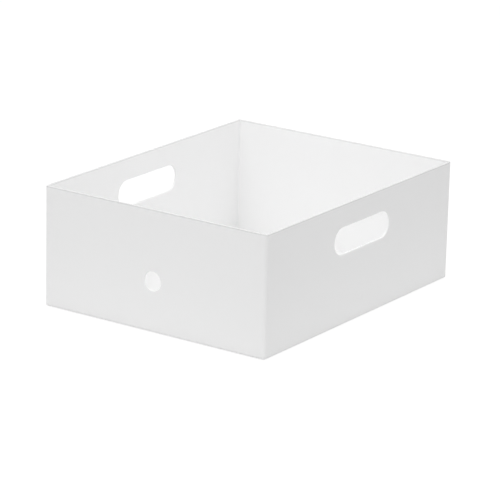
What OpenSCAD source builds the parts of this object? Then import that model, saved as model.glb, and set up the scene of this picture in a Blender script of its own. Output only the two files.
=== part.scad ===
// Open-topped file organizer box: one thin-walled moulding that stands on four non-slip pads.
// The pads stand on z = 0 and the front wall, the one with the finger hole, faces -Y.

/* [Box] */
// Outside width, across the front wall
box_w = 255; // [120:1:450]
// Outside depth, from the front wall to the back wall
box_d = 320; // [160:1:450]
// Overall height, from the surface it stands on to the rim
box_h = 120; // [80:1:320]
// Outside radius of the upright corners
corner_r = 3; // [0.5:0.5:30]
// Radius along the outside of the bottom edge
base_r = 1.2; // [0.2:0.1:2]

/* [Walls] */
// Wall thickness at the rim
rim_t = 2; // [1.2:0.1:3]
// Wall thickness at the floor: the draft that frees the box from its mould makes it greatest there
foot_t = 2.4; // [2:0.1:5]
// Floor thickness
floor_t = 2.4; // [1.6:0.1:5]
// Radius on the inner and the outer edge of the rim
rim_r = 0.6; // [0.1:0.05:0.9]
// Radius between the walls and the floor inside
fillet_r = 0.5; // [0.2:0.1:8]

/* [Hand holes] */
// Length of the hand hole in each side wall
hand_l = 95; // [55:1:140]
// Height of the hand hole, which has half-round ends
hand_h = 26.5; // [16:0.5:50]
// From the rim down to the top of the hand hole
hand_drop = 22.5; // [8:0.5:40]
// Radius on the edges of the hand holes and the finger hole
hole_edge_r = 0.6; // [0.1:0.05:0.9]

/* [Finger hole] */
// Diameter of the finger hole in the front wall
finger_d = 19; // [10:1:40]
// Height of its centre above the surface the box stands on
finger_z = 50.5; // [26:0.5:100]

/* [Pads] */
// Diameter of each pad
pad_d = 12; // [6:0.5:20]
// Clearance round a pad in its seat
pad_gap = 0.15; // [0.05:0.05:0.5]
// Depth of the seat in the floor
seat_depth = 1; // [0.4:0.1:1.6]
// How far a pad stands out below the floor
pad_proud = 0.8; // [0.3:0.1:3]
// Radius on a pad's lower edge
pad_edge_r = 0.4; // [0.1:0.05:0.7]
// From the outside of the walls to a pad's centre
pad_inset = 20; // [12:1:40]

/* [Floor panel] */
// Height by which the middle of the floor is stepped up, so that it cannot belly out and rock the box
panel_step = 0.6; // [0.2:0.1:1.2]
// Plan radius of the panel's corners
panel_r = 10; // [2:0.5:20]
// Flat land left between the pads and the panel
panel_land = 6; // [2:1:14]

/* [Hidden] */
$fn = 72;

shell_colour = [0.93, 0.93, 0.92];
pad_colour = [0.78, 0.78, 0.76];

// Flat strips in each small rounding
arc_steps = 5;
// Largest share of a wall's thickness that the rounding on one of its edges takes
edge_share = 0.45;
// How far a cutter runs past the face that it opens
cut = 1;
// Turn of a hole's rounded edge, in degrees, before it runs out straight through the face
flare_turn = 60;

underside_z = pad_proud;
floor_z = underside_z + floor_t;
base_round = min(base_r, corner_r);
rim_round = min(rim_r, edge_share * rim_t, corner_r);
hand_z = box_h - hand_drop - hand_h / 2;
pad_h = pad_proud + seat_depth;

// From the outside of the walls to the axes of the cavity's corners: the same axes as the outside's,
// unless the wall and its fillet need more room
cavity_axis = max(corner_r, max(rim_t, foot_t) + fillet_r);
cavity_rim_r = cavity_axis - rim_t;
cavity_foot_r = cavity_axis - foot_t;

// From the outside of the walls to the edge of the floor panel
panel_margin = pad_inset + pad_d / 2 + pad_gap + panel_land;

pad_x = box_w / 2 - pad_inset;
pad_y = box_d / 2 - pad_inset;
PAD_PLACES = [[-pad_x, -pad_y], [pad_x, -pad_y], [-pad_x, pad_y], [pad_x, pad_y]];

// Points along an arc from angle a0 to angle a1
function arc(centre, r, a0, a1) = [
    for (i = [0:arc_steps])
        let (a = a0 + (a1 - a0) * i / arc_steps)
            centre + r * [cos(a), sin(a)]
];

// Thickness of the drafted walls at height z
function wall_at(z) = rim_t + (foot_t - rim_t) * (box_h - z) / (box_h - floor_z);

// Half-profiles below: distance out from a corner's axis, then height. Each starts and ends on the axis.
function outside_profile() = concat(
    [[0, underside_z]],
    arc([corner_r - base_round, underside_z + base_round], base_round, -90, 0),
    arc([corner_r - rim_round, box_h - rim_round], rim_round, 0, 90),
    [[0, box_h]]
);

function cavity_profile() = concat(
    [[0, floor_z]],
    arc([cavity_foot_r - fillet_r, floor_z + fillet_r], fillet_r, -90, 0),
    arc([cavity_rim_r + rim_round, box_h - rim_round], rim_round, 180, 90),
    [[cavity_rim_r + rim_round, box_h + cut], [0, box_h + cut]]
);

// Step of the floor panel above the face at height z
function panel_profile(z) = [
    [0, z - cut],
    [panel_r + cut, z - cut],
    [panel_r - panel_step, z + panel_step],
    [0, z + panel_step]
];

// Hole of radius r through a wall of thickness t, from its inner face at -t to its outer face at 0,
// with both edges rounded
function hole_profile(r, t) =
    let (
        e = min(hole_edge_r, edge_share * t),
        out_r = r + e * (1 - cos(flare_turn)) + (cut + e * (1 - sin(flare_turn))) * tan(flare_turn)
    )
    concat(
        [[0, -t - cut], [out_r, -t - cut]],
        arc([r + e, e - t], e, 180 + flare_turn, 180),
        arc([r + e, -e], e, 180, 180 - flare_turn),
        [[out_r, cut], [0, cut]]
    );

// Carries a half-profile round a rectangle of corner axes, dx by dy, and fills the middle
module carry_round(dx, dy, profile) {
    low = profile[0].y;
    high = profile[len(profile) - 1].y;
    for (i = [0:3]) {
        across = i % 2 == 0 ? dx : dy;
        run = i % 2 == 0 ? dy : dx;
        rotate(90 * i)
            translate([across / 2, run / 2, 0]) {
                rotate_extrude(angle = 90)
                    polygon(profile);
                if (run > 0)
                    rotate([90, 0, 0])
                        linear_extrude(run)
                            polygon(profile);
            }
    }
    if (dx > 0 && dy > 0)
        translate([-dx / 2, -dy / 2, low])
            cube([dx, dy, high - low]);
}

module floor_panel(z) {
    inset = 2 * (panel_margin + panel_r);
    carry_round(box_w - inset, box_d - inset, panel_profile(z));
}

module cavity() {
    difference() {
        carry_round(box_w - 2 * cavity_axis, box_d - 2 * cavity_axis, cavity_profile());
        floor_panel(floor_z);
    }
}

module hand_hole() {
    translate([box_w / 2, 0, hand_z])
        rotate([90, 0, 90])
            carry_round(hand_l - hand_h, 0, hole_profile(hand_h / 2, wall_at(hand_z)));
}

module finger_hole() {
    translate([0, -box_d / 2, finger_z])
        rotate([90, 0, 0])
            rotate_extrude()
                polygon(hole_profile(finger_d / 2, wall_at(finger_z)));
}

module pad_seat(place) {
    translate([place.x, place.y, underside_z - cut])
        cylinder(h = cut + seat_depth, d = pad_d + 2 * pad_gap);
}

module box_shell() {
    color(shell_colour)
        difference() {
            carry_round(box_w - 2 * corner_r, box_d - 2 * corner_r, outside_profile());
            cavity();
            floor_panel(underside_z);
            for (side = [0, 1])
                mirror([side, 0, 0])
                    hand_hole();
            finger_hole();
            for (place = PAD_PLACES)
                pad_seat(place);
        }
}

module pad(place) {
    profile = concat(
        [[0, 0]],
        arc([pad_d / 2 - pad_edge_r, pad_edge_r], pad_edge_r, -90, 0),
        [[pad_d / 2, pad_h], [0, pad_h]]
    );
    color(pad_colour)
        translate([place.x, place.y, 0])
            rotate_extrude()
                polygon(profile);
}

box_shell();
for (i = [0:3])
    pad(PAD_PLACES[i]);
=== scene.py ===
# %% [markdown]
# # A white file box, from block to picture
#
# The box is one injection moulding: a floor and four thin walls, with a hand hole in each side wall and a
# finger hole in the front wall. Four soft pads under the base keep it from sliding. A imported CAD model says
# where every piece is. Here each piece is modelled again as a finished mesh that fills the same space, with
# the rounded edges and the small mould marks that a real one has, and then it gets its finish.

import math

import bmesh
import bpy
from mathutils import Matrix, Vector


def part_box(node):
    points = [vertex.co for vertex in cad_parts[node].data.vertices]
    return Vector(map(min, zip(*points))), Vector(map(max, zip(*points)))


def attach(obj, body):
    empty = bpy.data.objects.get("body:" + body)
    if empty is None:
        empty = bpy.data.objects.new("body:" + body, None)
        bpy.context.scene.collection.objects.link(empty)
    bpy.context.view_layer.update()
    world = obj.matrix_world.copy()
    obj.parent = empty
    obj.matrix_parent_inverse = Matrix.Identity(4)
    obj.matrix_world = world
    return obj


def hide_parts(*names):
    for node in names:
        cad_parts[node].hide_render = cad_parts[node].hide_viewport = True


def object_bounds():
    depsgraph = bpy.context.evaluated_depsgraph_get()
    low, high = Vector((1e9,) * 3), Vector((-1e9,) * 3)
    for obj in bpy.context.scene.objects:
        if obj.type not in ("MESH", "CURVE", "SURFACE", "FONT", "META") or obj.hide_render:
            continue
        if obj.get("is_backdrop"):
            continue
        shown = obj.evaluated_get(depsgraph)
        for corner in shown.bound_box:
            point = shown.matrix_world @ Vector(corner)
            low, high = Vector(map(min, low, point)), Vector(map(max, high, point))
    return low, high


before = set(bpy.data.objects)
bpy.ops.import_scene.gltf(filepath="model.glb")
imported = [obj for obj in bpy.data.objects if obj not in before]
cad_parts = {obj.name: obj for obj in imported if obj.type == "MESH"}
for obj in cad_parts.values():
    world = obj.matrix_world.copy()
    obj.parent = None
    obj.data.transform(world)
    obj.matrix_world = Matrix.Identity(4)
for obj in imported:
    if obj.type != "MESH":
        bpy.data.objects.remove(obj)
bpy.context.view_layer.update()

# %% [markdown]
# The frame gives the outside of each piece. What it can't give is the inside: wall thickness, radii and where
# the holes are. Those are written down once, in millimetres on the page and metres in the scene.

# %% Name the sizes
MM = 0.001

shell_low, shell_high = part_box("box_shell")
shell_size = shell_high - shell_low

CORNER_R = 3.0 * MM
BASE_R = 1.2 * MM
RIM_T = 2.0 * MM
FOOT_T = 2.4 * MM
FLOOR_T = 2.4 * MM
RIM_R = 0.6 * MM
FILLET_R = 0.5 * MM

HAND_L = 95.0 * MM
HAND_H = 26.5 * MM
HAND_Z = 84.25 * MM
FINGER_D = 19.0 * MM
FINGER_Z = 50.5 * MM
HOLE_EDGE_R = 0.6 * MM

floor_z = shell_low.z + FLOOR_T
print("shell", [round(side / MM, 1) for side in shell_size], "mm, floor at", round(floor_z / MM, 2), "mm")

# %% [markdown]
# Modelling by hand is a rhythm: select something, then use an operator on it. A script has no mouse, so it
# selects by place or by the way a face looks. `only` is a click on one object, and `pick` is a box select in
# edit mode with a rule in place of the box.

# %% Two hands: only and pick
TINY = 1e-6
SQUARE_ON = 0.99


def only(piece):
    bpy.ops.object.select_all(action="DESELECT")
    piece.select_set(True)
    bpy.context.view_layer.objects.active = piece


def pick(kind, wanted):
    bpy.ops.mesh.select_mode(type=kind)
    bpy.ops.mesh.select_all(action="DESELECT")
    mesh = bmesh.from_edit_mesh(bpy.context.edit_object.data)
    items = {"VERT": mesh.verts, "EDGE": mesh.edges, "FACE": mesh.faces}[kind]
    chosen = [item for item in items if wanted(item)]
    for item in chosen:
        item.select_set(True)
    mesh.select_flush_mode()
    bmesh.update_edit_mesh(bpy.context.edit_object.data)
    return len(chosen)


def level(edge, z):
    return all(abs(vert.co.z - z) < TINY for vert in edge.verts)


def upright(edge):
    first, second = (vert.co for vert in edge.verts)
    return (first.xy - second.xy).length < TINY


# %% [markdown]
# ## The shell
#
# A moulded box could be built from five plates, but plates never meet as cleanly as plastic that filled one
# mould. So it starts as a solid block of the outside size, as the mould's hollow half is. Rounding the
# upright edges first means that every later step, the rim, the cavity and the fillets, follows the round
# corners by itself.

# %% Block and corners
CORNER_STEPS = 10

bpy.ops.object.select_all(action="DESELECT")
bpy.ops.mesh.primitive_cube_add(size=1, location=(shell_low + shell_high) / 2)
shell = bpy.context.object
shell.name = "moulded_box"
shell.scale = shell_size
bpy.ops.object.transform_apply(location=True, rotation=True, scale=True)

bpy.ops.object.mode_set(mode="EDIT")
count = pick("EDGE", upright)
bpy.ops.mesh.bevel(offset=CORNER_R, segments=CORNER_STEPS, affect="EDGES")
print("rounded", count, "upright edges")

# %% [markdown]
# The cavity is the mould's core pressed into the block. Inset the top face by the wall thickness, push it
# down to the floor, and then shrink it a little. That shrink is the draft: a wall that thickens towards the
# floor lets go of the core when the mould opens.

# %% Cavity with draft
rim_inside = (shell_size - Vector((2 * RIM_T, 2 * RIM_T, 0)))
foot_inside = (shell_size - Vector((2 * FOOT_T, 2 * FOOT_T, 0)))
draft = (foot_inside.x / rim_inside.x, foot_inside.y / rim_inside.y, 1)

pick("FACE", lambda face: face.normal.z > SQUARE_ON)
bpy.ops.mesh.inset(thickness=RIM_T)
bpy.ops.mesh.extrude_region_move(TRANSFORM_OT_translate={"value": (0, 0, floor_z - shell_high.z)})
bpy.ops.transform.resize(value=draft, center_override=(0, 0, floor_z))
draft_angle = math.degrees(math.atan((FOOT_T - RIM_T) / (shell_high.z - floor_z)))
print("draft", round(draft_angle, 2), "degrees")

# %% [markdown]
# No edge of a moulding is sharp. The bottom edge is rolled so that the box slides into a shelf, the inside
# corner has a fillet so that the plastic flows, and both edges of the rim are eased for the hand.

# %% Round the long edges
BASE_STEPS = 5
FILLET_STEPS = 4
RIM_STEPS = 5


def rim_edge(edge):
    tops = [face for face in edge.link_faces if face.normal.z > SQUARE_ON]
    return level(edge, shell_high.z) and len(tops) == 1


base_edges = pick("EDGE", lambda edge: level(edge, shell_low.z))
bpy.ops.mesh.bevel(offset=BASE_R, segments=BASE_STEPS, affect="EDGES")
floor_edges = pick("EDGE", lambda edge: level(edge, floor_z))
bpy.ops.mesh.bevel(offset=FILLET_R, segments=FILLET_STEPS, affect="EDGES")
rim_edges = pick("EDGE", rim_edge)
bpy.ops.mesh.bevel(offset=RIM_R, segments=RIM_STEPS, affect="EDGES")
bpy.ops.object.mode_set(mode="OBJECT")
print("rounded", base_edges, "base,", floor_edges, "floor and", rim_edges, "rim edges")

# %% [markdown]
# ## The holes
#
# In the mould, a sliding block shuts off each hole before the plastic comes in. A Boolean with a block of the
# same outline does that job here. The hand hole starts as a plane of its length and height whose corners are
# beveled as points, which turns a rectangle into a stadium, and one long block goes through both side walls.

# %% Hand-hole and finger-hole blocks
HOLE_STEPS = 16
REACH = 10 * MM


def cut_with(piece, tool, operation="DIFFERENCE"):
    only(piece)
    boolean = piece.modifiers.new("mould_block", "BOOLEAN")
    boolean.object = tool
    boolean.operation = operation
    boolean.solver = "EXACT"
    bpy.ops.object.modifier_apply(modifier=boolean.name)
    bpy.data.objects.remove(tool)


def round_ended_block(place, turn, size, length):
    """A plane of the given size, its ends rounded, pushed along its own normal."""
    bpy.ops.object.select_all(action="DESELECT")
    bpy.ops.mesh.primitive_plane_add(size=1, location=place, rotation=turn)
    block = bpy.context.object
    block.scale = (size[0], size[1], 1)
    bpy.ops.object.transform_apply(location=True, rotation=True, scale=True)
    bpy.ops.object.mode_set(mode="EDIT")
    pick("VERT", lambda vert: True)
    bpy.ops.mesh.bevel(offset=min(size) / 2, segments=HOLE_STEPS, affect="VERTICES")
    bpy.ops.mesh.select_all(action="SELECT")
    bpy.ops.mesh.remove_doubles(threshold=TINY)
    bpy.ops.mesh.extrude_region_move(TRANSFORM_OT_translate={"value": length})
    bpy.ops.mesh.select_all(action="SELECT")
    bpy.ops.mesh.normals_make_consistent(inside=False)
    bpy.ops.object.mode_set(mode="OBJECT")
    return block


QUARTER = math.pi / 2
hand_start = (shell_low.x - REACH, 0, HAND_Z)
hand_run = (shell_size.x + 2 * REACH, 0, 0)
hand_block = round_ended_block(hand_start, (0, QUARTER, 0), (HAND_H, HAND_L), hand_run)
cut_with(shell, hand_block)
finger_start = (0, shell_low.y - REACH, FINGER_Z)
finger_block = round_ended_block(finger_start, (QUARTER, 0, 0), (FINGER_D, FINGER_D), (0, 2 * REACH, 0))
cut_with(shell, finger_block)
print("shell has", len(shell.data.polygons), "faces with its holes open")

# %% [markdown]
# Fingers go through these holes with the weight of the box on them, so on the real one every hole edge is
# rounded, inside and out. The cut left sharp edges where a flat wall turns into the side of a hole. They are
# found by that turn and by their place, and one bevel rounds them all.

# %% Ease the hole edges
HOLE_EDGE_STEPS = 4
SHARP_BEND = math.radians(60)


def hole_edge(edge):
    """An edge where a wall, square on to X or Y, turns into the side of a hole."""
    middle = (edge.verts[0].co + edge.verts[1].co) / 2
    in_hand = abs(middle.y) < HAND_L / 2 + TINY and abs(middle.z - HAND_Z) < HAND_H / 2 + TINY
    in_finger = (middle.xz - Vector((0, FINGER_Z))).length < FINGER_D / 2 + TINY and middle.y < 0
    walls = [max(abs(face.normal.x), abs(face.normal.y)) for face in edge.link_faces]
    bend = edge.calc_face_angle(0)
    return (in_hand or in_finger) and bend > SHARP_BEND and max(walls) > SQUARE_ON


only(shell)
bpy.ops.object.mode_set(mode="EDIT")
count = pick("EDGE", hole_edge)
bpy.ops.mesh.bevel(offset=HOLE_EDGE_R, segments=HOLE_EDGE_STEPS, affect="EDGES")
bpy.ops.object.mode_set(mode="OBJECT")
print("eased", count, "hole edges")

# %% [markdown]
# ## Floor panel, pad seats and mould marks
#
# A large flat floor never stays flat, so moulders step its middle up by half a millimetre: the box then
# stands on its corners and can't rock. One sloped slab shapes both sides of the floor. It is joined to the
# inside first, then moved down by the floor's thickness and cut out of the underside.

# %% Step the floor panel
PAD_D = 12.0 * MM
PAD_GAP = 0.15 * MM
PAD_INSET = 20.0 * MM
PANEL_LAND = 6.0 * MM
PANEL_STEP = 0.6 * MM
PANEL_R = 10.0 * MM
PANEL_STEPS = 8

panel_margin = PAD_INSET + PAD_D / 2 + PAD_GAP + PANEL_LAND
slab_h = FLOOR_T / 2 + PANEL_STEP


def sloped_slab(top_z):
    """A flat block with round corners whose sides lean in at 45 degrees."""
    foot = shell_size - Vector((2 * panel_margin, 2 * panel_margin, 0)) + Vector((FLOOR_T, FLOOR_T, 0))
    bpy.ops.object.select_all(action="DESELECT")
    bpy.ops.mesh.primitive_cube_add(size=1, location=(0, 0, top_z - slab_h / 2))
    slab = bpy.context.object
    slab.scale = (foot.x, foot.y, slab_h)
    bpy.ops.object.transform_apply(location=True, rotation=True, scale=True)
    bpy.ops.object.mode_set(mode="EDIT")
    pick("EDGE", upright)
    bpy.ops.mesh.bevel(offset=PANEL_R, segments=PANEL_STEPS, affect="EDGES")
    pick("FACE", lambda face: face.normal.z > SQUARE_ON)
    lean = (1 - 2 * slab_h / foot.x, 1 - 2 * slab_h / foot.y, 1)
    bpy.ops.transform.resize(value=lean, center_override=(0, 0, top_z))
    bpy.ops.object.mode_set(mode="OBJECT")
    return slab


cut_with(shell, sloped_slab(floor_z + PANEL_STEP), "UNION")
cut_with(shell, sloped_slab(shell_low.z + PANEL_STEP))
print("floor panel starts", round(panel_margin / MM, 2), "mm in from the walls")

# %% [markdown]
# Round features repeat: four seats for the pads, the faint circles that ejector pins leave on the floor, and
# the dimple where the plastic came in. Each is a round block, so one helper makes the block between two
# heights, and a Boolean cuts it away or joins it on.

# %% Seats and marks
DISC_SIDES = 64
SEAT_DEPTH = 1.0 * MM
PIN_D = 9.0 * MM
PIN_DEPTH = 0.12 * MM
PIN_COLUMNS = (-72 * MM, 72 * MM)
PIN_ROWS = (-98 * MM, 0, 98 * MM)
GATE_D = 13.0 * MM
GATE_DEPTH = 0.4 * MM
NUB_D = 2.6 * MM
NUB_H = 0.25 * MM


def disc(place, diameter, low, high):
    """A round block between two heights."""
    bpy.ops.object.select_all(action="DESELECT")
    centre = (place[0], place[1], (low + high) / 2)
    bpy.ops.mesh.primitive_cylinder_add(
        vertices=DISC_SIDES, radius=diameter / 2, depth=high - low, location=centre
    )
    block = bpy.context.object
    bpy.ops.object.transform_apply(location=True, rotation=True, scale=True)
    return block


pad_places = {}
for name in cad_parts:
    if name.startswith("pad_"):
        low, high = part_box(name)
        pad_places[name] = (low + high) / 2

panel_top = floor_z + PANEL_STEP
panel_under = shell_low.z + PANEL_STEP
for place in pad_places.values():
    seat = disc(place, PAD_D + 2 * PAD_GAP, shell_low.z - REACH, shell_low.z + SEAT_DEPTH)
    cut_with(shell, seat)
for x in PIN_COLUMNS:
    for y in PIN_ROWS:
        cut_with(shell, disc((x, y), PIN_D, panel_top - PIN_DEPTH, panel_top + REACH))
cut_with(shell, disc((0, 0), GATE_D, shell_low.z - REACH, panel_under + GATE_DEPTH))
nub = disc((0, 0), NUB_D, panel_under + GATE_DEPTH - NUB_H, panel_under + 2 * GATE_DEPTH)
cut_with(shell, nub, "UNION")
print("cut", len(pad_places), "seats and", len(PIN_COLUMNS) * len(PIN_ROWS), "pin marks")

# %% [markdown]
# Smooth shading lets a bevel of a few strips read as one round edge. On its own it would also bend the light
# on the flat walls, so the Weighted Normal modifier gives the large faces the say: walls stay flat and only
# the roundings turn.

# %% Smooth the shell
SMOOTH_UP_TO = math.radians(35)


def smooth(piece):
    only(piece)
    bpy.ops.object.shade_smooth_by_angle(angle=SMOOTH_UP_TO)
    weighted = piece.modifiers.new("flat_stays_flat", "WEIGHTED_NORMAL")
    weighted.keep_sharp = True
    bpy.ops.object.modifier_apply(modifier=weighted.name)


smooth(shell)
print("finished shell has", len(shell.data.polygons), "faces")

# %% [markdown]
# ## The pads
#
# A non-slip pad is a button of soft rubber, pressed into its seat. Only its lower rim and face ever show, so
# that is where the work goes: a rolled edge, and two ring grooves that let the face grip. A pad is modelled
# once, under the first corner, and copied to the others.

# %% Model one pad
PAD_EDGE_R = 0.4 * MM
PAD_EDGE_STEPS = 4
GROOVE_W = 0.5 * MM
GROOVE_DEPTH = 0.2 * MM
RING_W = 0.9 * MM
GROOVES = 2

first_pad = "pad_front_left"
pad_low, pad_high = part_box(first_pad)


def at_pad_foot(edge):
    return level(edge, pad_low.z)


pad = disc(pad_places[first_pad], pad_high.x - pad_low.x, pad_low.z, pad_high.z)
pad.name = "rubber_" + first_pad
bpy.ops.object.mode_set(mode="EDIT")
pick("EDGE", at_pad_foot)
bpy.ops.mesh.bevel(offset=PAD_EDGE_R, segments=PAD_EDGE_STEPS, affect="EDGES")
pick("FACE", lambda face: face.normal.z < -SQUARE_ON)
for groove in range(GROOVES):
    bpy.ops.mesh.inset(thickness=RING_W)
    bpy.ops.mesh.inset(thickness=GROOVE_DEPTH, depth=-GROOVE_DEPTH)
    bpy.ops.mesh.inset(thickness=GROOVE_W)
    bpy.ops.mesh.inset(thickness=GROOVE_DEPTH, depth=GROOVE_DEPTH)
bpy.ops.object.mode_set(mode="OBJECT")
smooth(pad)
print("pad has", len(pad.data.polygons), "faces")

# %% [markdown]
# The other three pads come out of the same mould, so they are copies. Each copy gets a mesh of its own, and
# its move is applied to that mesh, so that a finish which is measured from the box's own centre falls on
# each pad in a different place.

# %% Copy it to the other seats
pads = {first_pad: pad}
for name, place in pad_places.items():
    if name != first_pad:
        only(pad)
        bpy.ops.object.duplicate()
        copy = bpy.context.object
        copy.name = "rubber_" + name
        copy.location = place - pad_places[first_pad]
        bpy.ops.object.transform_apply(location=True, rotation=True, scale=True)
        pads[name] = copy
print("pads:", sorted(piece.name for piece in pads.values()))

# %% [markdown]
# ## Finishes
#
# A finish is a small network of nodes. Writing it as sums on paper is clearer than wiring it box by box, so
# `Wire` stands for one socket and lets Python's own signs add the Math nodes, and `Finish.add` makes any
# other node from its type, its settings and what goes into its sockets.

# %% Wires and finishes
# A Mix node has sockets for numbers, vectors and colours. These are the places of its colour sockets.
MIX_FIRST = 6
MIX_SECOND = 7
MIX_RESULT = 2


class Wire:
    def __init__(self, finish, socket):
        self.finish = finish
        self.socket = socket

    def maths(self, operation, first, second):
        return self.finish.add("ShaderNodeMath", {"operation": operation}, {0: first, 1: second})

    def __add__(self, other):
        return self.maths("ADD", self, other)

    def __radd__(self, other):
        return self.maths("ADD", other, self)

    def __sub__(self, other):
        return self.maths("SUBTRACT", self, other)

    def __rsub__(self, other):
        return self.maths("SUBTRACT", other, self)

    def __mul__(self, other):
        return self.maths("MULTIPLY", self, other)

    def __rmul__(self, other):
        return self.maths("MULTIPLY", other, self)


class Finish:
    def __init__(self, owner):
        owner.use_nodes = True
        self.tree = owner.node_tree
        self.tree.nodes.clear()

    def add(self, kind, settings=None, sockets=None, out=0):
        node = self.tree.nodes.new(kind)
        for key, value in (settings or {}).items():
            setattr(node, key, value)
        for key, value in (sockets or {}).items():
            if isinstance(value, Wire):
                self.tree.links.new(value.socket, node.inputs[key])
            else:
                node.inputs[key].default_value = value
        return Wire(self, node.outputs[out]) if node.outputs else None

    def noise(self, place, scale, detail):
        sockets = {"Vector": place, "Scale": scale, "Detail": detail}
        return self.add("ShaderNodeTexNoise", None, sockets, "Fac")

    def vector(self, operation, first, second=(0, 0, 0), out="Vector"):
        return self.add("ShaderNodeVectorMath", {"operation": operation}, {0: first, 1: second}, out)

    def fade(self, value, start, end):
        """1 at start and 0 at end, with a smooth step between."""
        sockets = {"Value": value, "From Min": start, "From Max": end, "To Min": 1.0, "To Max": 0.0}
        return self.add("ShaderNodeMapRange", {"interpolation_type": "SMOOTHSTEP"}, sockets, "Result")

    def blend(self, factor, first, second):
        sockets = {"Factor": factor, MIX_FIRST: first, MIX_SECOND: second}
        return self.add("ShaderNodeMix", {"data_type": "RGBA"}, sockets, MIX_RESULT)


print("maths signs ready")

# %% [markdown]
# The shell is white polypropylene, as it leaves a spark-eroded mould: not glossy, not quite matt. Light goes
# a millimetre or two into it before it comes out again, so a thin wall looks milky and an inner corner shows
# no hard shade. Subsurface scattering does that. Seen close, the skin has a grain finer than half a
# millimetre and a slower waviness where the plastic cooled, and its white drifts a little. Light from above
# also soaks into the rim and pales the top of the walls. To keep the walls grey right up to the edge, the rim
# is painted a shade greyer: that grey is painted shade, not the plastic's own colour.

# %% White moulded plastic
WHITE = (0.955, 0.955, 0.955, 1)
SHADE_WHITE = (0.925, 0.925, 0.925, 1)
# The rim's grey is painted shade: darker than the walls' white, to hold back the light that falls on the rim
# from above.
RIM_PAINTED_SHADE = (0.76, 0.76, 0.76, 1)
DRIFTS_PER_M = 14
CLOUDS_PER_M = 120
WAVES_PER_M = 70
GRAINS_PER_M = 2600
DRIFT_SHARE = 0.6
SKIN_ROUGH = 0.58
CLOUD_ROUGH = 0.08
GRAIN_ROUGH = 0.05
RIM_SMOOTHER = 0.05
RIM_FADE_START = 0.6 * MM
RIM_FADE_END = 2.2 * MM
GRAIN_DEPTH = 0.04 * MM
WAVE_DEPTH = 0.12 * MM
PLASTIC_IOR = 1.49
PLASTIC_SHINE = 0.25
LIGHT_REACH = 2 * MM


def white_plastic():
    material = bpy.data.materials.new("white_plastic")
    finish = Finish(material)
    place = finish.add("ShaderNodeTexCoord", None, None, "Object")
    height = finish.add("ShaderNodeSeparateXYZ", None, {"Vector": place}, "Z")

    drift = finish.noise(place, DRIFTS_PER_M, detail=3)
    cloud = finish.noise(place, CLOUDS_PER_M, detail=4)
    grain = finish.noise(place, GRAINS_PER_M, detail=2)
    wave = finish.noise(place, WAVES_PER_M, detail=1)
    # This rim mask smooths the skin at the rim and also carries the rim's painted shade.
    rim_smoothing_and_painted_shade = finish.fade(shell_high.z - height, RIM_FADE_START, RIM_FADE_END)

    patchy = drift * DRIFT_SHARE + cloud * (1 - DRIFT_SHARE)
    clean = finish.blend(patchy, SHADE_WHITE, WHITE)
    # Painted shade: towards the top edge the colour is blended into the rim's darker grey.
    colour = finish.blend(rim_smoothing_and_painted_shade, clean, RIM_PAINTED_SHADE)
    roughness = SKIN_ROUGH + CLOUD_ROUGH * cloud + GRAIN_ROUGH * grain - RIM_SMOOTHER * rim_smoothing_and_painted_shade
    relief = grain * GRAIN_DEPTH + wave * WAVE_DEPTH
    normal = finish.add("ShaderNodeBump", None, {"Strength": 1.0, "Distance": 1.0, "Height": relief})
    plastic = finish.add(
        "ShaderNodeBsdfPrincipled",
        None,
        {
            "Base Color": colour,
            "Roughness": roughness,
            "IOR": PLASTIC_IOR,
            "Specular IOR Level": PLASTIC_SHINE,
            "Subsurface Weight": 1.0,
            "Subsurface Radius": (1, 1, 1),
            "Subsurface Scale": LIGHT_REACH,
            "Normal": normal,
        },
    )
    finish.add("ShaderNodeOutputMaterial", None, {"Surface": plastic})
    return material


shell.data.materials.clear()
shell.data.materials.append(white_plastic())
print("shell finish:", shell.data.materials[0].name)

# %% [markdown]
# The pads are soft rubber, pale grey and dead matt. Rubber draws dust and gets a pale bloom with age, so one
# noise blends two greys and roughens the paler one, and a much finer noise gives the face its tooth.

# %% Grey rubber
RUBBER = (0.55, 0.55, 0.54, 1)
BLOOM = (0.66, 0.66, 0.64, 1)
BLOOMS_PER_M = 400
TEETH_PER_M = 4000
RUBBER_ROUGH = 0.72
BLOOM_ROUGH = 0.2
TOOTH_DEPTH = 0.03 * MM


def grey_rubber():
    material = bpy.data.materials.new("grey_rubber")
    finish = Finish(material)
    place = finish.add("ShaderNodeTexCoord", None, None, "Object")
    bloom = finish.noise(place, BLOOMS_PER_M, detail=4)
    teeth = finish.noise(place, TEETH_PER_M, detail=2)
    colour = finish.blend(bloom, RUBBER, BLOOM)
    roughness = RUBBER_ROUGH + BLOOM_ROUGH * bloom
    relief = teeth * TOOTH_DEPTH
    normal = finish.add("ShaderNodeBump", None, {"Strength": 1.0, "Distance": 1.0, "Height": relief})
    rubber = finish.add(
        "ShaderNodeBsdfPrincipled",
        None,
        {"Base Color": colour, "Roughness": roughness, "Normal": normal},
    )
    finish.add("ShaderNodeOutputMaterial", None, {"Surface": rubber})
    return material


rubber = grey_rubber()
for piece in pads.values():
    piece.data.materials.clear()
    piece.data.materials.append(rubber)
print("pad finish:", rubber.name)

# %% [markdown]
# ## Hand the pieces to the frame
#
# Nothing on this box moves against anything else, so every piece rides on the one body, and each one stands
# for the CAD node that it was modelled after.

# %% Ride and replace
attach(shell, "root")
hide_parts("box_shell")
for name, piece in pads.items():
    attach(piece, "root")
    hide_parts(name)
print("riding pieces:", 1 + len(pads))

# %% [markdown]
# ## Studio
#
# The box stands on a lit white sheet, as white things often do in a catalogue. The sheet's glow fills the
# lower parts of the walls. It fades a short way out, and it ends just under the edge of the box, so the
# rolled bottom edge still draws a thin dark line. To the camera the sheet is white by its own glow, and only
# part of what it shows is light that falls on it. That part takes the box's shadow, which stays but is faint.

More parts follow.
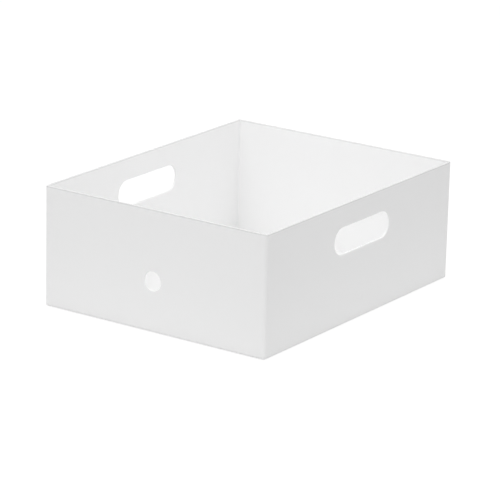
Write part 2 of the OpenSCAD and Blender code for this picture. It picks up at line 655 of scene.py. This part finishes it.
# %% Floor
FLOOR_SIDE = 12.0
PAPER = 0.5
TABLE_GLOW = 0.235
TABLE_NEAR = 0.03
TABLE_FAR = 0.25
GLOW_UNDER = 2 * MM
FOOT_SHADE = 3 * MM
SEEN_GLOW = 0.86
SEEN_PAPER = 0.2


def seen(finish):
    """1 for what the camera, a reflection or a clear body sees, and 0 for light on its way."""
    rays = finish.add("ShaderNodeLightPath").socket.node.outputs
    camera, glossy, clear = (
        Wire(finish, rays[name]) for name in ("Is Camera Ray", "Is Glossy Ray", "Is Transmission Ray")
    )
    return camera + glossy + clear


bpy.ops.object.select_all(action="DESELECT")
bpy.ops.mesh.primitive_plane_add(size=FLOOR_SIDE)
floor = bpy.context.object
floor.name = "lit_sheet"
sheet = bpy.data.materials.new("lit_sheet")
finish = Finish(sheet)
place = finish.add("ShaderNodeTexCoord", None, None, "Object")
dark_half = shell_size / 2 - Vector((GLOW_UNDER, GLOW_UNDER, 0))
past_dark = finish.vector("SUBTRACT", finish.vector("ABSOLUTE", place), dark_half)
past_dark = finish.vector("MAXIMUM", past_dark, (0, 0, 0))
distance = finish.vector("LENGTH", past_dark, out="Value")
viewed = seen(finish)
lit = PAPER - (PAPER - SEEN_PAPER) * viewed
reach = finish.fade(distance, TABLE_NEAR, TABLE_FAR) - finish.fade(distance, 0, FOOT_SHADE)
glow = TABLE_GLOW * reach * (1 - viewed) + SEEN_GLOW * viewed
paper = finish.add(
    "ShaderNodeBsdfPrincipled",
    None,
    {
        "Base Color": lit,
        "Roughness": 1.0,
        "Specular IOR Level": 0.0,
        "Emission Color": glow,
        "Emission Strength": 1.0,
    },
)
finish.add("ShaderNodeOutputMaterial", None, {"Surface": paper})
floor.data.materials.append(sheet)
floor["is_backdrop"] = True
print("sheet", FLOOR_SIDE, "m square")

# %% [markdown]
# Three lights do the rest. The room gives a soft light from all sides. A softbox right above the box fills
# it, which is why its inside is brighter than its outside, and one in front keeps the front wall brighter
# than the side.

# %% Light
ROOM_LIGHT = 0.77
CLEAR_WHITE = (1, 1, 1, 1)
OVERHEAD = {"power": 4.1, "side": 1.2, "place": (0.0, 0.0, 1.2)}
FRONT = {"power": 7.9, "side": 1.2, "place": (0.0, -2.2, 1.8)}

world = bpy.data.worlds.new("studio")
bpy.context.scene.world = world
finish = Finish(world)
room = finish.add("ShaderNodeBackground", None, {"Color": CLEAR_WHITE, "Strength": ROOM_LIGHT})
backdrop = finish.add("ShaderNodeBackground", None, {"Color": CLEAR_WHITE, "Strength": 1.0})
sky = finish.add("ShaderNodeMixShader", None, {0: seen(finish), 1: room, 2: backdrop})
finish.add("ShaderNodeOutputWorld", None, {"Surface": sky})


def softbox(name, power, side, place):
    aim = Vector((0, 0, shell_high.z / 2))
    bpy.ops.object.light_add(type="AREA", location=place)
    lamp = bpy.context.object
    lamp.name = name
    lamp.data.energy = power
    lamp.data.size = side
    lamp.rotation_euler = (aim - Vector(place)).to_track_quat("-Z", "Y").to_euler()


softbox("overhead", **OVERHEAD)
softbox("front", **FRONT)
print("room light", ROOM_LIGHT)

# %% [markdown]
# ## Camera
#
# The edges of the box in the photograph give the camera away: how fast parallel edges draw together says how
# far it stood, and their slopes say from where. It stood far off with a long lens, tilted a little to one
# side.

# %% Camera
PICTURE_SIDE = 500
FOCAL_PIXELS = 2935.0
AZIMUTH = math.radians(34.441)
ELEVATION = math.radians(17.275)
ROLL = math.radians(1.383)
DISTANCE = 2.8678
SENSOR_WIDTH = 36.0
FAR_CLIP = 50.0
TARGET = Vector((-0.0074, 0.0098, 0.0384))

back = Vector(
    (
        math.sin(AZIMUTH) * math.cos(ELEVATION),
        -math.cos(AZIMUTH) * math.cos(ELEVATION),
        math.sin(ELEVATION),
    )
)
level_right = Vector((math.cos(AZIMUTH), math.sin(AZIMUTH), 0))
level_up = back.cross(level_right)
right = math.cos(ROLL) * level_right + math.sin(ROLL) * level_up
up = math.cos(ROLL) * level_up - math.sin(ROLL) * level_right

bpy.ops.object.camera_add()
camera = bpy.context.object
turn = Matrix((right, up, back)).transposed().to_4x4()
camera.matrix_world = Matrix.Translation(TARGET + back * DISTANCE) @ turn
camera.data.sensor_width = SENSOR_WIDTH
camera.data.lens = FOCAL_PIXELS / PICTURE_SIDE * SENSOR_WIDTH
camera.data.clip_end = FAR_CLIP
scene = bpy.context.scene
scene.camera = camera
scene.view_settings.view_transform = "Standard"
print("lens", round(camera.data.lens, 1), "mm")

# %% [markdown]
# Last, the ruler: the finished meshes have to fill the CAD model's box and no more, so the box that they
# fill is printed.

# %% Sizes, then finish
low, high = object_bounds()
print("visual box in metres:", tuple(low), tuple(high))
